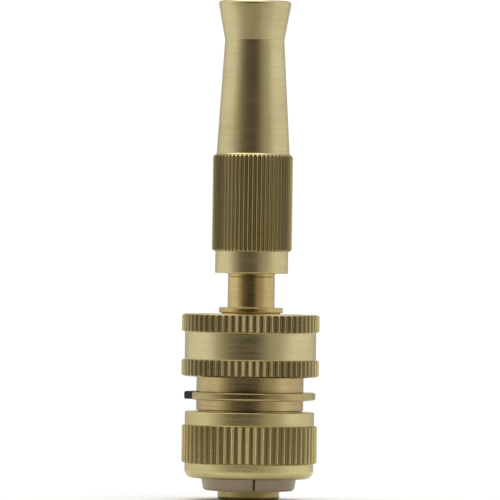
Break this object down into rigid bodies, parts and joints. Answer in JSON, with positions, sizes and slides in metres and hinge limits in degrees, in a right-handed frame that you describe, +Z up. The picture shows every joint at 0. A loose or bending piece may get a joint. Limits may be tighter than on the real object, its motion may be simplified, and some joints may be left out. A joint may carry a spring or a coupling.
{
  "type": "hose spray nozzle",
  "caption": "Turned brass twist spray nozzle with a knurled grip and flared mouth, plugged into a brass quick hose coupler with a pull-back sleeve and a knurled clamp nut.",
  "frame": {"origin": "centre of the hose tail's bottom face, which the part stands on", "axes": "+Z up along the nozzle's axis to the flared mouth, -Y towards the side with the first collet slit, -X through the snap ring's gap"},
  "size_m": [0.0348, 0.0348, 0.1265],
  "materials": {
    "barrel_brass": "fine-turned brass, straight knurl on the grip",
    "stem_brass": "bright turned brass",
    "body_brass": "fine-turned brass",
    "sleeve_brass": "fine-turned brass with two coarse knurled rings",
    "nut_brass": "fine-turned brass with a coarse straight knurl",
    "ring_steel": "brass-plated spring steel",
    "collet_plastic": "dull grey-beige moulding",
    "pawl_steel": "hardened steel",
    "spring_steel": "spring steel",
    "seal_rubber": "black rubber"
  },
  "bodies": {
    "coupler": {"coupler_body": "body_brass", "hose_tail": "body_brass", "tail_washer": "seal_rubber", "snap_ring": "ring_steel", "sleeve_ring": "spring_steel", "release_spring": "spring_steel"},
    "nozzle_stem": {"stem": "stem_brass", "nipple_seal": "seal_rubber", "pintle_seal": "seal_rubber", "stop_clip": "spring_steel"},
    "barrel_gland": {"barrel_seal": "seal_rubber"},
    "twist_barrel": {"barrel": "barrel_brass"},
    "release_sleeve": {"release_sleeve": "sleeve_brass"},
    "collet": {"grip_collet": "collet_plastic"},
    "nut": {"compression_nut": "nut_brass"},
    "lock_pawl_1": {"lock_pawl_1": "pawl_steel"},
    "lock_pawl_2": {"lock_pawl_2": "pawl_steel"},
    "lock_pawl_3": {"lock_pawl_3": "pawl_steel"},
    "lock_pawl_4": {"lock_pawl_4": "pawl_steel"}
  },
  "joints": [
    {"name": "nozzle_swivel", "type": "hinge", "parent": "coupler", "child": "nozzle_stem", "pos_m": [0, 0, 0.038], "axis": [0, 0, 1], "continuous": true},
    {"name": "barrel_advance", "type": "slide", "parent": "nozzle_stem", "child": "barrel_gland", "axis": [0, 0, 1], "range_m": [-0.003, 0.002]},
    {"name": "barrel_twist", "type": "hinge", "parent": "barrel_gland", "child": "twist_barrel", "pos_m": [0, 0, 0.06], "axis": [0, 0, 1], "range_deg": [-540.1, 360.1]},
    {"name": "sleeve_slide", "type": "slide", "parent": "coupler", "child": "release_sleeve", "axis": [0, 0, 1], "range_m": [-0.0036, 0], "stiffness_N_per_m": 900, "springref_m": 0.004, "deforming": ["release_spring"]},
    {"name": "nut_advance", "type": "slide", "parent": "coupler", "child": "collet", "axis": [0, 0, 1], "range_m": [-0.00225, 0]},
    {"name": "nut_turn", "type": "hinge", "parent": "collet", "child": "nut", "pos_m": [0, 0, 0.014], "axis": [0, 0, 1], "range_deg": [-540.1, 0.1]},
    {"name": "pawl_slide_1", "type": "slide", "parent": "coupler", "child": "lock_pawl_1", "axis": [0.7071, 0.7071, 0], "range_m": [0, 0.00101]},
    {"name": "pawl_slide_2", "type": "slide", "parent": "coupler", "child": "lock_pawl_2", "axis": [-0.7071, 0.7071, 0], "range_m": [0, 0.00101]},
    {"name": "pawl_slide_3", "type": "slide", "parent": "coupler", "child": "lock_pawl_3", "axis": [-0.7071, -0.7071, 0], "range_m": [0, 0.00101]},
    {"name": "pawl_slide_4", "type": "slide", "parent": "coupler", "child": "lock_pawl_4", "axis": [0.7071, -0.7071, 0], "range_m": [0, 0.00101]}
  ],
  "couplings": [
    {"joint": "barrel_twist", "follows": "barrel_advance", "rad_per_m": 3141.6},
    {"joint": "nut_turn", "follows": "nut_advance", "rad_per_m": 4188.8},
    {"joint": "pawl_slide_1", "follows": "sleeve_slide", "ratio": -0.28},
    {"joint": "pawl_slide_2", "follows": "sleeve_slide", "ratio": -0.28},
    {"joint": "pawl_slide_3", "follows": "sleeve_slide", "ratio": -0.28},
    {"joint": "pawl_slide_4", "follows": "sleeve_slide", "ratio": -0.28}
  ]
}
